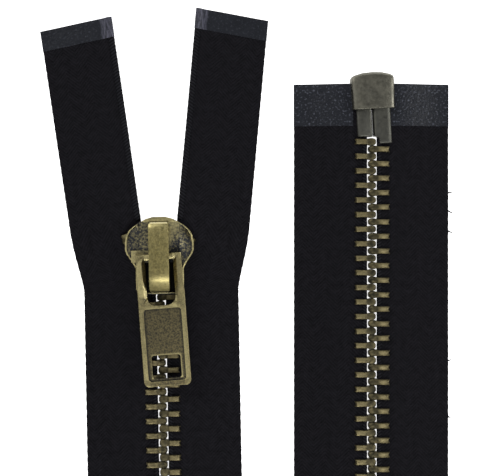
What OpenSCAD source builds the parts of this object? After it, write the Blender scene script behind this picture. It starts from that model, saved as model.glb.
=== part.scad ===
// A closed metal separating zipper laid in a U on a table, front up on both legs.
// The slider stands at the top stops on one leg; the box is at the end of the other leg.
// Between the legs the chain turns on edge. Millimetres, +Z up, origin below the middle of the whole.

/* [Tape] */
// Distance from the middle of the chain to the outer edge of a tape
half_width = 19.15; // [17:0.05:21]
// Thickness of a tape in its sewing margin
tape_t = 0.7; // [0.6:0.05:0.8]
// Diameter of the cord along a tape's inner edge
cord_d = 1.7; // [1.5:0.05:1.75]
// Gap between the two cords of a closed chain
cord_gap = 2.3; // [2.2:0.05:2.4]
// Depth of the film that seals a free end
end_film = 5; // [3:0.5:8]
// Depth of the film that stiffens the tapes at the box
box_film = 10.4; // [8:0.1:13]

/* [Chain] */
// Distance between teeth on one tape
pitch = 3.635; // [3.6:0.005:3.66]
// Length of a tooth from the middle of the chain to the end of its legs
tooth_leg = 4.35; // [4.2:0.05:4.4]
// Thickness of a tooth along the chain
tooth_w = 1.45; // [1.3:0.05:1.5]
// Height of a tooth, front to back
tooth_h = 3.1; // [3:0.05:3.2]

/* [Slider] */
// Length of the slider
slider_l = 19.3; // [19:0.1:19.6]
// Half the width of the slider's shoulders
shoulder_w = 8.5; // [8.4:0.05:8.8]
// Height of the top plate's rim above the table
rim_z = 6.1; // [6.1:0.05:6.3]
// Length of the pull from its crossbar to its end
pull_l = 32.05; // [30:0.05:40]
// Angle that the pull lies at across the slider
pull_tilt = 3.3; // [0:0.1:5.5]

/* [Layout] */
// Angle that the slider's leg leans across the table
lean = 1.06; // [0:0.02:1.2]
// Angle of the left free end to its leg
left_spread = 7.4; // [5:0.1:8]
// Angle of the right free end to its leg
right_spread = 6.8; // [4:0.1:7]
// Length of the left free end along its inner edge
left_end_l = 51.5; // [30:0.5:55]
// Length of the right free end along its inner edge
right_end_l = 52.5; // [30:0.5:55]
// Straight part of the slider's leg below the middle of the slider
straight_l = 65.6; // [62:0.1:68]
// Length over which a leg turns from flat to on edge
twist_l = 77.05; // [70:0.05:90]

/* [Hidden] */

BLACK = "#1b1b1f";
FILM = "#2f3139";
BRASS = "#7d7250";
DARK_BRASS = "#57523f";
STEEL = "#9a9a98";

LEFT = -1;
RIGHT = 1;
EPS = 0.01;
$fn = 32;

// Tape section, measured from the middle of the chain
cord_r = cord_d / 2;
cord_in = cord_gap / 2;
cord_x = cord_in + cord_r;
tape_in = cord_in + cord_d + 0.02;
margin_in = 6.5;
thin_t = tape_t - 0.1;
film_t = 0.12;
film_in = 5.4;
tape_w = half_width - cord_in;

// Heights of the chain's middle plane
slider_z = 3.05;
box_z = 2.6;

// Places on the table
slider_x = -21.1;
slider_y = 54.5;
box_x = 31.85;
straight_y = slider_y - straight_l * cos(lean);
edge_x = slider_x + (straight_l + twist_l / 2) * sin(lean);
bend_r = (box_x - edge_x) / 2;
bend_x = edge_x + bend_r;
bend_y = straight_y - twist_l;

// Bottom end
tape_end_y = 97;
box_bottom_y = 91.15;
box_top_y = 100.3;
box_w = 10.7;
box_h = 5.2;
box_wall = 0.8;
pin_in = 0.25;
insertion_out = 4.45;
retaining_out = 4;
insertion_end_y = 82.4;
retaining_end_y = 84.3;
pin_h = 3.1;

// Opening of the stringers inside the slider
open_s = 9.1;
open_l = 18;
open_w = 3.45;
top_s = open_s - open_l;
left_stop_s = -5.4;
right_stop_s = -4.55;

// Route of the closed chain by t: straight leg, twist, bend on edge, twist, box leg
twist_t = straight_l;
bend_t = twist_t + twist_l;
untwist_t = bend_t + bend_r * PI;
leg_t = untwist_t + twist_l;

function smooth(u) = u * u * (3 - 2 * u);
function height(angle, flat_z) = flat_z * cos(angle) + half_width * sin(angle);
function turn(t) =
    t < twist_t ? 0
    : t < bend_t ? 90 * smooth((t - twist_t) / twist_l)
    : t < untwist_t ? 90
    : t < leg_t ? 90 * (1 - smooth((t - untwist_t) / twist_l))
    : 0;
function twist_shift(u) = twist_l * sin(lean) * (u - pow(u, 3) + pow(u, 4) / 2);
function route(t) =
    t < twist_t ? [slider_x + t * sin(lean), slider_y - t * cos(lean), slider_z]
    : t < bend_t ? let (u = (t - twist_t) / twist_l)
        [slider_x + straight_l * sin(lean) + twist_shift(u), straight_y - u * twist_l,
         height(turn(t), slider_z)]
    : t < untwist_t ? let (a = (t - bend_t) / bend_r * 180 / PI)
        [bend_x - bend_r * cos(a), bend_y - bend_r * sin(a), half_width]
    : [box_x, bend_y + t - untwist_t, height(turn(t), box_z)];

// Lengths along the chain, from the middle of the slider
t_step = 1;
lengths = [
    for (t = 0, s = 0; t < leg_t + 110;
         s = s + norm(route(t + t_step) - route(t)), t = t + t_step) [s, t]
];
function t_at(s) = s < 0 ? s : lookup(s, lengths);
back = [for (p = lengths) [p[1], p[0]]];
function s_at(t) = lookup(t, back);

split_s = 64;
box_split_s = s_at(leg_t) + 1;
function box_s(y) = s_at(untwist_t + y - bend_y);

// Directions at t: along the chain, across it to the right tape, out of its front
function unit(v) = v / norm(v);
function along(t) = unit(route(t + 0.05) - route(t - 0.05));
function across(t) =
    let (a = along(t), flat = unit([-a[1], a[0], 0]),
         w = cos(turn(t)) * flat + sin(turn(t)) * [0, 0, 1])
    unit(w - (w * a) * a);
function point(s, x, z) =
    let (t = t_at(s), a = along(t), w = across(t))
    route(t) + x * w + z * cross(a, w);

// Opening of a stringer inside the slider, by s, and its angle
function spread_of(side) = side == LEFT ? left_spread : right_spread;
function opened(s) = min(1, max(0, (open_s - s) / open_l));
function opening(s, side) =
    let (v = opened(s), m = open_l * tan(spread_of(side)))
    open_w * smooth(v) + m * (pow(v, 3) - v * v);
function opening_angle(s, side) =
    let (v = opened(s), m = open_l * tan(spread_of(side)))
    atan((open_w * 6 * (v - v * v) + m * (3 * v * v - 2 * v)) / open_l);
// A point of an opening stringer in the slider's frame, x from the middle of a closed chain
function open_point(s, x, side) =
    let (a = opening_angle(s, side))
    [side * (opening(s, side) + cord_in + (x - cord_in) * cos(a)), -s - (x - cord_in) * sin(a)];

module on_chain(s) {
    t = t_at(s);
    a = along(t);
    w = across(t);
    n = cross(a, w);
    p = route(t);
    multmatrix([
        [w[0], -a[0], n[0], p[0]],
        [w[1], -a[1], n[1], p[1]],
        [w[2], -a[2], n[2], p[2]],
        [0, 0, 0, 1]
    ]) children();
}

module at_slider() {
    translate([slider_x, slider_y, 0]) rotate([0, 0, lean]) children();
}

// A solid through rings of points
module skin(rings) {
    n = len(rings[0]);
    last = len(rings) - 1;
    points = [for (r = rings) each r];
    sides = [
        for (i = [0:last - 1], j = [0:n - 1]) let (k = (j + 1) % n)
            each [[i * n + j, i * n + k, (i + 1) * n + k], [i * n + j, (i + 1) * n + k, (i + 1) * n + j]]
    ];
    start = [[for (j = [n - 1:-1:0]) j]];
    end = [[for (j = [0:n - 1]) last * n + j]];
    polyhedron(points, concat(start, sides, end));
}

// Tape section as [x, z] points, anticlockwise for the right tape
tape_section = [
    [tape_in, -thin_t / 2], [margin_in, -thin_t / 2], [margin_in, -tape_t / 2], [half_width, -tape_t / 2],
    [half_width, tape_t / 2], [margin_in, tape_t / 2], [margin_in, thin_t / 2], [tape_in, thin_t / 2]
];
cord_sides = 8;
cord_section = [
    for (i = [0:cord_sides - 1]) let (a = (i + 0.5) * 360 / cord_sides)
        [cord_x + cord_r * cos(a), cord_r * sin(a)]
];
function mirrored(section, side) =
    side == RIGHT ? section : [for (i = [len(section) - 1:-1:0]) [-section[i][0], section[i][1]]];
function ring(s, section) = [for (q = section) point(s, q[0], q[1])];

module swept(section, side, from, to, step) {
    n = ceil((to - from) / step);
    skin([for (i = [0:n]) ring(from + (to - from) * i / n, mirrored(section, side))]);
}

module tape_bend(side) {
    swept(tape_section, side, split_s, box_split_s, pitch);
}

module cord_bend(side) {
    swept(cord_section, side, split_s, box_split_s, pitch);
}

// Flat tape with a thicker sewing margin
module flat_tape(from, to, side) {
    steps = 16;
    curve = [for (i = [0:steps]) top_s + open_l * i / steps];
    stations = concat(curve, [to]);
    for (zone = [[tape_in, margin_in + EPS, thin_t], [margin_in, half_width, tape_t]])
        translate([0, 0, slider_z - zone[2] / 2])
            linear_extrude(zone[2])
                polygon(concat(
                    [for (s = stations) open_point(s, zone[0], side)],
                    [for (i = [len(stations) - 1:-1:0]) open_point(stations[i], zone[1], side)]
                ));
}

module cord_slider_leg(side) {
    steps = 12;
    curve = [for (i = [0:steps]) top_s + open_l * i / steps];
    function at(s, q) = let (p = open_point(s, q[0], side)) [p[0], p[1], slider_z + q[1]];
    section = side == RIGHT ? cord_section : [for (i = [cord_sides - 1:-1:0]) cord_section[i]];
    skin([for (s = concat(curve, [split_s])) [for (q = section) at(s, q)]]);
}

// Teeth: legs that grip the cord, and a head with a dome on one face and a hollow on the other
head_w = 1.6;
head_h = 2.4;
head_in = 1;
dome_y = 0.3;
dome_r = 0.8;
hollow_r = 0.95;
leg_in = 0.35;
leg_chamfer = 0.6;

module tooth_legs() {
    rotate([90, 0, 0])
        translate([0, 0, -tooth_w / 2])
            linear_extrude(tooth_w)
                difference() {
                    polygon([
                        [leg_in, -head_h / 2], [leg_in + leg_chamfer, -tooth_h / 2],
                        [tooth_leg - leg_chamfer, -tooth_h / 2], [tooth_leg, -head_h / 2 + leg_chamfer],
                        [tooth_leg, head_h / 2 - leg_chamfer], [tooth_leg - leg_chamfer, tooth_h / 2],
                        [leg_in + leg_chamfer, tooth_h / 2], [leg_in, head_h / 2]
                    ]);
                    translate([cord_x, 0]) circle(r = cord_r + 0.08);
                    translate([cord_x, -thin_t / 2 - 0.08]) square([tooth_leg, thin_t + 0.16]);
                }
}

module tooth_head() {
    tip = 0.35;
    translate([0, 0, -head_h / 2])
        linear_extrude(head_h)
            polygon([
                [leg_in + EPS, -head_w / 2], [tip - head_in, -head_w / 2], [-head_in, tip - head_w / 2],
                [-head_in, head_w / 2 - tip], [tip - head_in, head_w / 2], [leg_in + EPS, head_w / 2]
            ]);
    translate([0, -dome_y, 0]) sphere(r = dome_r);
}

module tooth(side) {
    mirror([side == LEFT ? 1 : 0, 0, 0])
        difference() {
            union() {
                tooth_legs();
                tooth_head();
            }
            translate([0, pitch / 2 - dome_y, 0]) sphere(r = hollow_r);
        }
}

// Places of the first tooth of each side along the chain
function first_s(side) = side == LEFT ? -2.33 : -2.33 + pitch / 2;
module teeth(side, from, to) {
    first = ceil((from - first_s(side)) / pitch);
    last = ceil((to - first_s(side)) / pitch) - 1;
    for (i = [first:last]) {
        s = first_s(side) + i * pitch;
        if (s < open_s)
            at_slider()
                translate([side * opening(s, side), -s, slider_z])
                    rotate([0, 0, -side * opening_angle(s, side)])
                        tooth(side);
        else
            on_chain(s) tooth(side);
    }
}

// Stops, films and free ends in a frame on a stringer's inner edge
module on_stringer(s, side) {
    at_slider()
        translate([side * (opening(s, side) + cord_in), -s, slider_z])
            rotate([0, 0, -side * opening_angle(s, side)])
                mirror([side == LEFT ? 1 : 0, 0, 0])
                    children();
}

module top_stop(s, side, length) {
    stop_w = 2.7;
    stop_in = -0.45;
    on_stringer(s, side)
        rotate([90, 0, 0])
            translate([0, 0, -stop_w / 2])
                linear_extrude(stop_w)
                    difference() {
                        polygon([
                            [stop_in, -1.1], [0.2, -1.5], [length - 0.8, -1.5], [length, -0.8],
                            [length, 0.8], [length - 0.8, 1.5], [0.2, 1.5], [stop_in, 1.1]
                        ]);
                        translate([cord_r, 0]) circle(r = cord_r + 0.17);
                        translate([cord_r, -0.45]) square([length, 0.9]);
                    }
}

cut_slant = 5;
module tape_end(side, length) {
    on_stringer(top_s, side)
        for (zone = [[tape_in, margin_in + EPS, thin_t], [margin_in, half_width, tape_t]]) {
            x0 = zone[0] - cord_in;
            x1 = zone[1] - cord_in;
            translate([0, 0, -zone[2] / 2])
                linear_extrude(zone[2])
                    polygon([
                        [x0, 0.02], [x1, 0.02],
                        [x1, length - x1 * tan(cut_slant)], [x0, length - x0 * tan(cut_slant)]
                    ]);
        }
}

module cord_end(side, length) {
    on_stringer(top_s, side)
        translate([cord_r, 0.02, 0])
            rotate([-90, 0, 0])
                cylinder(r = cord_r, h = length - cord_d * tan(cut_slant) - 0.02);
}

module end_film(side, length) {
    x0 = tape_in - cord_in;
    on_stringer(top_s, side)
        for (z = [tape_t / 2, -tape_t / 2 - film_t])
            translate([0, 0, z])
                linear_extrude(film_t)
                    polygon([
                        [x0, length - end_film - x0 * tan(cut_slant)],
                        [tape_w, length - end_film - tape_w * tan(cut_slant)],
                        [tape_w, length - tape_w * tan(cut_slant)],
                        [x0, length - x0 * tan(cut_slant)]
                    ]);
}

// Slider body: two plates of one outline, side flanges and a divider
waist_w = 5.95;
waist_y = -3.1;
bottom_y = -9.6;
plate_t = 1.2;
top_plate_z = 4.9;
field_z = 5.75;
flange_gap = 1.2;
flange_top = 1.7;

module plate_outline(inset) {
    right = [
        [1.6, slider_l - 9.65], [3.2, 9.2], [4.8, 8.35], [6.3, 7.4], [7.5, 6.3], [8.2, 5],
        [shoulder_w, 3.4], [shoulder_w, 1.4], [8.1, 0.4], [6.85, -1.4], [waist_w, waist_y],
        [waist_w - 0.05, bottom_y + 1.3], [waist_w - 1.3, bottom_y]
    ];
    count = len(right) - 1;
    offset(delta = -inset)
        polygon(concat(right, [for (i = [count:-1:0]) [-right[i][0], right[i][1]]]));
}

module flange_outline() {
    intersection() {
        plate_outline(0);
        for (side = [LEFT, RIGHT])
            polygon([
                [side * 4.7, bottom_y - 1], [side * 4.7, -6.5], [side * 5.35, waist_y],
                [side * 5.95, -1], [side * 6.75, flange_top], [side * 12, flange_top],
                [side * 12, bottom_y - 1]
            ]);
    }
}

lock_hole = [1.05, -5.065, 1.2, 1];
module slider_body() {
    color(BRASS)
        at_slider()
            difference() {
                union() {
                    linear_extrude(plate_t) plate_outline(0);
                    translate([0, 0, top_plate_z]) linear_extrude(field_z - top_plate_z) plate_outline(0);
                    translate([0, 0, field_z - EPS])
                        linear_extrude(rim_z - field_z + EPS)
                            difference() {
                                plate_outline(0);
                                plate_outline(0.7);
                            }
                    translate([0, 0, plate_t - EPS])
                        linear_extrude(slider_z - flange_gap / 2 - plate_t + EPS) flange_outline();
                    translate([0, 0, slider_z + flange_gap / 2])
                        linear_extrude(top_plate_z - slider_z - flange_gap / 2 + EPS) flange_outline();
                    translate([0, 0, plate_t - EPS])
                        linear_extrude(top_plate_z - plate_t + 2 * EPS)
                            polygon([[-0.3, 1.7], [0.3, 1.7], [2.1, 8.7], [1.4, 9.4], [-1.4, 9.4], [-2.1, 8.7]]);
                    // The cap stands in two low bosses
                    for (y = [-7.3, 6.9])
                        translate([-1.2, y - 0.5, field_z - EPS]) cube([2.2, 1, 0.3]);
                }
                translate([lock_hole[0], lock_hole[1], top_plate_z - 1])
                    cube([lock_hole[2], lock_hole[3], 3]);
            }
}

// Crown: a hollow cap over the lock pin, with side windows for the pull's crossbar
crown_w = 5.1;
crown_l = 17.35;
crown_y = -0.37;
crown_top = 9.9;
crown_in = 1.85;
bar_y = -0.3;
bar_z = 7.05;
bar_r = 0.9;

module stadium(w, l) {
    square([w, l - w], center = true);
    for (side = [-1, 1])
        translate([0, side * (l - w) / 2]) circle(d = w);
}

module slider_crown() {
    color(BRASS)
        at_slider()
            difference() {
                translate([0, crown_y, field_z]) linear_extrude(crown_top - field_z) stadium(crown_w, crown_l);
                translate([-crown_in, crown_y - 8.15, field_z - 1]) cube([2 * crown_in, 16.3, 4.25]);
                translate([-crown_w, bar_y - 1.6, field_z - 1]) cube([2 * crown_w, 3.2, 3.6]);
            }
}

module lock_pin() {
    leaf_z = 8;
    leaf_t = 0.3;
    color(STEEL)
        at_slider()
            union() {
                translate([-1.3, -4.665, leaf_z]) cube([3.1, 11.715, leaf_t]);
                translate([-1.3, 6.55, 6.2]) cube([2.6, 0.6, leaf_z - 6.2 + EPS]);
                translate([1.3, -4.665, slider_z + 1]) cube([0.5, 0.45, leaf_z - slider_z - 1 + EPS]);
            }
}

// Pull: crossbar, two arms, and a plate with a sunk panel and a window
arm_in = 3.55;
pull_half = 5.8;
pull_t = 1.8;
arm_end = 11.95;
panel_start = 13.1;
panel_end = 30.7;
panel_half = 4.65;
panel_deep = 0.45;

module pull_tab() {
    c = 1.4;
    shoulder = 7.2;
    color(BRASS)
        at_slider()
            translate([-0.2, bar_y, bar_z])
                rotate([0, 0, pull_tilt])
                    difference() {
                        union() {
                            rotate([0, 90, 0])
                                translate([0, 0, -arm_in - EPS])
                                    cylinder(r = bar_r, h = 2 * arm_in + 2 * EPS);
                            for (side = [LEFT, RIGHT])
                                translate([side * (arm_in + 1), 0, 0])
                                    rotate([0, 90, 0])
                                        cylinder(r = 1, h = 2, center = true);
                            translate([0, 0, -pull_t / 2])
                                linear_extrude(pull_t)
                                    difference() {
                                        polygon([
                                            [-5.55, 0], [5.55, 0], [5.6, -shoulder], [pull_half, -shoulder - 1.2],
                                            [pull_half - 0.15, c - pull_l], [pull_half - 0.15 - c, -pull_l],
                                            [c + 0.15 - pull_half, -pull_l], [0.15 - pull_half, c - pull_l],
                                            [-pull_half, -shoulder - 1.2], [-5.6, -shoulder]
                                        ]);
                                        translate([-arm_in, -arm_end + 2])
                                            square([2 * arm_in, arm_end]);
                                        translate([0, -arm_end + 2]) stadium(2 * arm_in, 4 + 2 * arm_in - 3.1);
                                    }
                        }
                        for (z = [pull_t / 2 - panel_deep, -pull_t / 2 - 1])
                            translate([-panel_half, -panel_end, z])
                                cube([2 * panel_half, panel_end - panel_start, 1 + panel_deep]);
                        translate([-3.6, -30.1, -2]) cube([7.2, 5.7, 4]);
                    }
}

// Bottom end, in a frame on the box leg's middle line with y along the table
module at_box() {
    translate([box_x, 0, box_z]) children();
}

module tape_box_leg(side) {
    // The left tape lies to the right here, because this leg runs the other way
    low = route(t_at(box_split_s))[1] + 0.02;
    difference() {
        at_box()
            for (zone = [[tape_in, margin_in + EPS, thin_t], [margin_in, half_width, tape_t]])
                translate([side == LEFT ? zone[0] : -zone[1], low, -zone[2] / 2])
                    cube([zone[1] - zone[0], tape_end_y - low, zone[2]]);
        box_film_of(side, film_in - 0.01, 1);
    }
}

module cord_box_leg(side) {
    low = route(t_at(box_split_s))[1] + 0.02;
    at_box()
        translate([-side * cord_x, low, 0])
            rotate([-90, 0, 0])
                cylinder(r = cord_r, h = tape_end_y - low);
}

// The hot die presses the film into the tape, so that their faces are level
module box_film_of(side, inner, spare = 0) {
    at_box()
        for (z = [tape_t / 2 - film_t, -tape_t / 2 - spare])
            translate([side == LEFT ? inner : -half_width - spare, tape_end_y - box_film, z])
                cube([half_width - inner + spare, box_film + spare, film_t + spare]);
}

// The pins and the box sit a little askew on the tapes
module askew() {
    centre = [0.31, 91, 0];
    translate(centre) rotate([0, 0, 3]) translate(-centre) children();
}

// A pin folded round its tape's inner edge
module pin(side, outer, low) {
    top = box_top_y - 1.5;
    at_box()
        difference() {
            askew() mirror([side == LEFT ? 0 : 1, 0, 0])
                difference() {
                    translate([pin_in, low, -pin_h / 2]) cube([outer - pin_in, top - low, pin_h]);
                    children();
                }
            mirror([side == LEFT ? 0 : 1, 0, 0]) {
                translate([cord_x, low - 1, 0])
                    rotate([-90, 0, 0])
                        cylinder(r = cord_r + 0.05, h = tape_end_y - low + 1.2);
                translate([cord_x, low - 1, -thin_t / 2 - 0.05])
                    cube([5, tape_end_y - low + 1.2, thin_t + 0.1]);
            }
        }
}

module insertion_pin() {
    color(DARK_BRASS)
        pin(LEFT, insertion_out, insertion_end_y)
            translate([-EPS, insertion_end_y - 1, -5]) cube([1.1, 2.85, 10]);
}

module retaining_pin() {
    color(DARK_BRASS) pin(RIGHT, retaining_out, retaining_end_y);
}

module retainer_box() {
    inner_w = 4.65;
    cavity_h = 3.4;
    slot_h = 1.1;
    corner = 1.6;
    half = box_w / 2;
    color(DARK_BRASS)
        at_box() askew()
            difference() {
                translate([0, 0, -box_h / 2])
                    linear_extrude(box_h)
                        polygon([
                            [-half, box_bottom_y], [half, box_bottom_y], [half, box_top_y - corner],
                            [half - corner, box_top_y], [corner - half, box_top_y], [-half, box_top_y - corner]
                        ]);
                translate([-inner_w, box_bottom_y - 1, -cavity_h / 2])
                    cube([2 * inner_w, box_top_y - 1.3 - box_bottom_y + 1, cavity_h]);
                translate([-half - 1, box_bottom_y - 1, -slot_h / 2])
                    cube([box_w + 2, tape_end_y + 0.6 - box_bottom_y + 1, slot_h]);
            }
}

module left_tape_end() { color(BLACK) tape_end(LEFT, left_end_l); }
module right_tape_end() { color(BLACK) tape_end(RIGHT, right_end_l); }
module left_end_film() { color(FILM) end_film(LEFT, left_end_l); }
module right_end_film() { color(FILM) end_film(RIGHT, right_end_l); }
module left_cord_end() { color(BLACK) cord_end(LEFT, left_end_l); }
module right_cord_end() { color(BLACK) cord_end(RIGHT, right_end_l); }
module left_top_stop() { color(BRASS) top_stop(left_stop_s, LEFT, 5.75); }
module right_top_stop() { color(BRASS) top_stop(right_stop_s, RIGHT, 5.6); }
module left_tape_slider_leg() { color(BLACK) at_slider() flat_tape(top_s, split_s, LEFT); }
module right_tape_slider_leg() { color(BLACK) at_slider() flat_tape(top_s, split_s, RIGHT); }
module left_cord_slider_leg() { color(BLACK) at_slider() cord_slider_leg(LEFT); }
module right_cord_slider_leg() { color(BLACK) at_slider() cord_slider_leg(RIGHT); }
module left_teeth_slider_leg() { color(BRASS) teeth(LEFT, first_s(LEFT), split_s); }
module right_teeth_slider_leg() { color(BRASS) teeth(RIGHT, first_s(RIGHT), split_s); }
module left_tape_bend() { color(BLACK) tape_bend(LEFT); }
module right_tape_bend() { color(BLACK) tape_bend(RIGHT); }
module left_cord_bend() { color(BLACK) cord_bend(LEFT); }
module right_cord_bend() { color(BLACK) cord_bend(RIGHT); }
module left_teeth_bend() { color(BRASS) teeth(LEFT, split_s, box_split_s); }
module right_teeth_bend() { color(BRASS) teeth(RIGHT, split_s, box_split_s); }
module left_tape_box_leg() { color(BLACK) tape_box_leg(LEFT); }
module right_tape_box_leg() { color(BLACK) tape_box_leg(RIGHT); }
module left_cord_box_leg() { color(BLACK) cord_box_leg(LEFT); }
module right_cord_box_leg() { color(BLACK) cord_box_leg(RIGHT); }
module left_teeth_box_leg() { color(BRASS) teeth(LEFT, box_split_s, box_s(insertion_end_y) - 0.9); }
module right_teeth_box_leg() { color(BRASS) teeth(RIGHT, box_split_s, box_s(retaining_end_y) - 0.9); }
module left_box_film() { color(FILM) box_film_of(LEFT, film_in); }
module right_box_film() { color(FILM) box_film_of(RIGHT, film_in); }

left_tape_end();
right_tape_end();
left_end_film();
right_end_film();
left_cord_end();
right_cord_end();
left_top_stop();
right_top_stop();
left_tape_slider_leg();
right_tape_slider_leg();
left_cord_slider_leg();
right_cord_slider_leg();
left_teeth_slider_leg();
right_teeth_slider_leg();
slider_body();
slider_crown();
lock_pin();
pull_tab();
left_tape_bend();
right_tape_bend();
left_cord_bend();
right_cord_bend();
left_teeth_bend();
right_teeth_bend();
left_tape_box_leg();
right_tape_box_leg();
left_cord_box_leg();
right_cord_box_leg();
left_teeth_box_leg();
right_teeth_box_leg();
left_box_film();
right_box_film();
insertion_pin();
retaining_pin();
retainer_box();
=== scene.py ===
# A heavy metal separating zipper, closed and laid in a U, in the order that it is put together:
# woven tapes and their cords, films, teeth, stops, pins, box, then the slider and its pull.

import math
import random

import bpy
import numpy as np
from mathutils import Matrix, Vector


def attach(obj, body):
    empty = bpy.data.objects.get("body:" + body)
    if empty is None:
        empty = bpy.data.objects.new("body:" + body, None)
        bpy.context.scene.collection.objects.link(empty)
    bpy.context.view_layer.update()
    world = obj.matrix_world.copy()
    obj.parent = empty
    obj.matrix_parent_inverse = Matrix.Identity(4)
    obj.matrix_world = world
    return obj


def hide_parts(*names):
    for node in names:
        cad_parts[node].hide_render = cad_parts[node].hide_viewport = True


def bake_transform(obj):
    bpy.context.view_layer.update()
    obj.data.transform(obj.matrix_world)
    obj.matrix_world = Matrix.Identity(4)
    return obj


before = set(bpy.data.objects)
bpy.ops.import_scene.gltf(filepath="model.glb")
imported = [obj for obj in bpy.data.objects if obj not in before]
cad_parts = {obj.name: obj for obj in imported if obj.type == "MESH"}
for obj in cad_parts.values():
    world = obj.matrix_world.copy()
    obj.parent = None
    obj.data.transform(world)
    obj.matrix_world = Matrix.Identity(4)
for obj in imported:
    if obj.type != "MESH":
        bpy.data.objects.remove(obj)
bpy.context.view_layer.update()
MM = 0.001


# ---- Camera, table and light ----
# The camera looks straight down on the two ends of the zipper from arm's length. The table is a
# white light table, and three soft boxes hang round it.
VIEW_WIDTH = 119.75
VIEW_CENTRE = (-1.27, 58.9)
VIEW_HEIGHT = 350
CHAIN_HEIGHT = 3

scene = bpy.context.scene
scene.view_settings.view_transform = "Standard"
camera_data = bpy.data.cameras.new("camera")
camera_data.sensor_width = 36
camera_data.lens = 36 * VIEW_HEIGHT / VIEW_WIDTH
camera = bpy.data.objects.new("camera", camera_data)
camera.location = Vector((*VIEW_CENTRE, VIEW_HEIGHT + CHAIN_HEIGHT)) * MM
scene.collection.objects.link(camera)
scene.camera = camera


def linear(colour):
    """An sRGB hex colour as linear values."""
    parts = [int(colour[i:i + 2], 16) / 255 for i in (1, 3, 5)]
    return [p / 12.92 if p <= 0.04045 else ((p + 0.055) / 1.055) ** 2.4 for p in parts] + [1]


def add(tree, kind, inputs=None, **settings):
    """Adds a node with its settings; an input is a value or another node's output."""
    node = tree.nodes.new(kind)
    for name, value in settings.items():
        setattr(node, name, value)
    for socket, value in (inputs or {}).items():
        if isinstance(value, bpy.types.NodeSocket):
            tree.links.new(value, node.inputs[socket])
        else:
            node.inputs[socket].default_value = value
    return node


def new_material(name):
    """An empty material with its node tree, its shader and its output."""
    made = bpy.data.materials.new(name)
    made.use_nodes = True
    made.node_tree.nodes.clear()
    shader = add(made.node_tree, "ShaderNodeBsdfPrincipled")
    add(made.node_tree, "ShaderNodeOutputMaterial", {"Surface": shader.outputs[0]})
    return made, made.node_tree, shader


table_material, tree, shader = new_material("lit_opal_glass")
shader.inputs["Base Color"].default_value = linear("#fafafa")
shader.inputs["Roughness"].default_value = 0.6
shader.inputs["Specular IOR Level"].default_value = 0.2
shader.inputs["Emission Color"].default_value = linear("#ffffff")
shader.inputs["Emission Strength"].default_value = 1
bpy.ops.mesh.primitive_plane_add(size=6)
table = bpy.context.object
table.name = "table"
table.data.materials.append(table_material)

world = bpy.data.worlds.new("studio")
world.use_nodes = True
world.node_tree.nodes["Background"].inputs["Color"].default_value = linear("#ffffff")
world.node_tree.nodes["Background"].inputs["Strength"].default_value = 0.28
scene.world = world


def soft_box(name, place, size, watts):
    """A square area light that points at the middle of the view."""
    light = bpy.data.lights.new(name, "AREA")
    light.shape = "SQUARE"
    light.size = size
    light.energy = watts
    lamp = bpy.data.objects.new(name, light)
    lamp.location = place
    target = Vector((*VIEW_CENTRE, 0)) * MM
    lamp.rotation_euler = (target - Vector(place)).to_track_quat("-Z", "Y").to_euler()
    scene.collection.objects.link(lamp)


soft_box("near_box", (0.03, -0.3, 0.55), 0.22, 2)
soft_box("far_box", (-0.4, 0.5, 0.55), 0.35, 3)
soft_box("right_box", (0.55, 0.1, 0.45), 0.3, 2.1)


# ---- Tapes ----
# Two woven herringbone polyester tapes, each 18.3 mm wide. They are swept along the way that the
# closed chain lies: straight, a quarter turn, a bend on edge, a quarter turn back, straight.
LEFT, RIGHT = -1, 1
SIDES = {"left": LEFT, "right": RIGHT}
TAPE_EDGE = 19.45
TAPE_T = 0.62
CORD_IN = 1.15
LEAN = math.radians(1.06)
SLIDER = Vector((-21.1, 54.5, 0))
SLIDER_Z = 3.05
BOX_X, BOX_Z = 31.85, 2.6
STRAIGHT_L, TWIST_L = 65.6, 76.93
OPEN_S, OPEN_L = 9.1, 18
OPEN_W = {LEFT: 3.45, RIGHT: 3.2}
TOP_S = OPEN_S - OPEN_L
ANGLES = {LEFT: math.radians(7.4), RIGHT: math.radians(6.2)}
END_L = {LEFT: 51.7, RIGHT: 53.4}
CUT_SLANT = {LEFT: math.tan(math.radians(3.4)), RIGHT: math.tan(math.radians(5))}
SPLIT_S = 64
TAPE_END_Y = 97.4

# In names, s is a length along the chain down from the slider's middle, and t is the parameter of
# the route that the chain follows.
straight_y = SLIDER.y - STRAIGHT_L * math.cos(LEAN)
edge_x = SLIDER.x + (STRAIGHT_L + TWIST_L / 2) * math.sin(LEAN)
bend_r = (BOX_X - edge_x) / 2
bend_y = straight_y - TWIST_L
bend_t = STRAIGHT_L + TWIST_L
untwist_t = bend_t + bend_r * math.pi
leg_t = untwist_t + TWIST_L


def smooth(u):
    """Eases from 0 to 1."""
    u = min(1, max(0, u))
    return u * u * (3 - 2 * u)


def turn(t):
    """How far the tapes are turned on edge, in radians."""
    turned = smooth((t - STRAIGHT_L) / TWIST_L)
    turned_back = smooth((t - untwist_t) / TWIST_L)
    return math.pi / 2 * (turned - turned_back)


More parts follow.
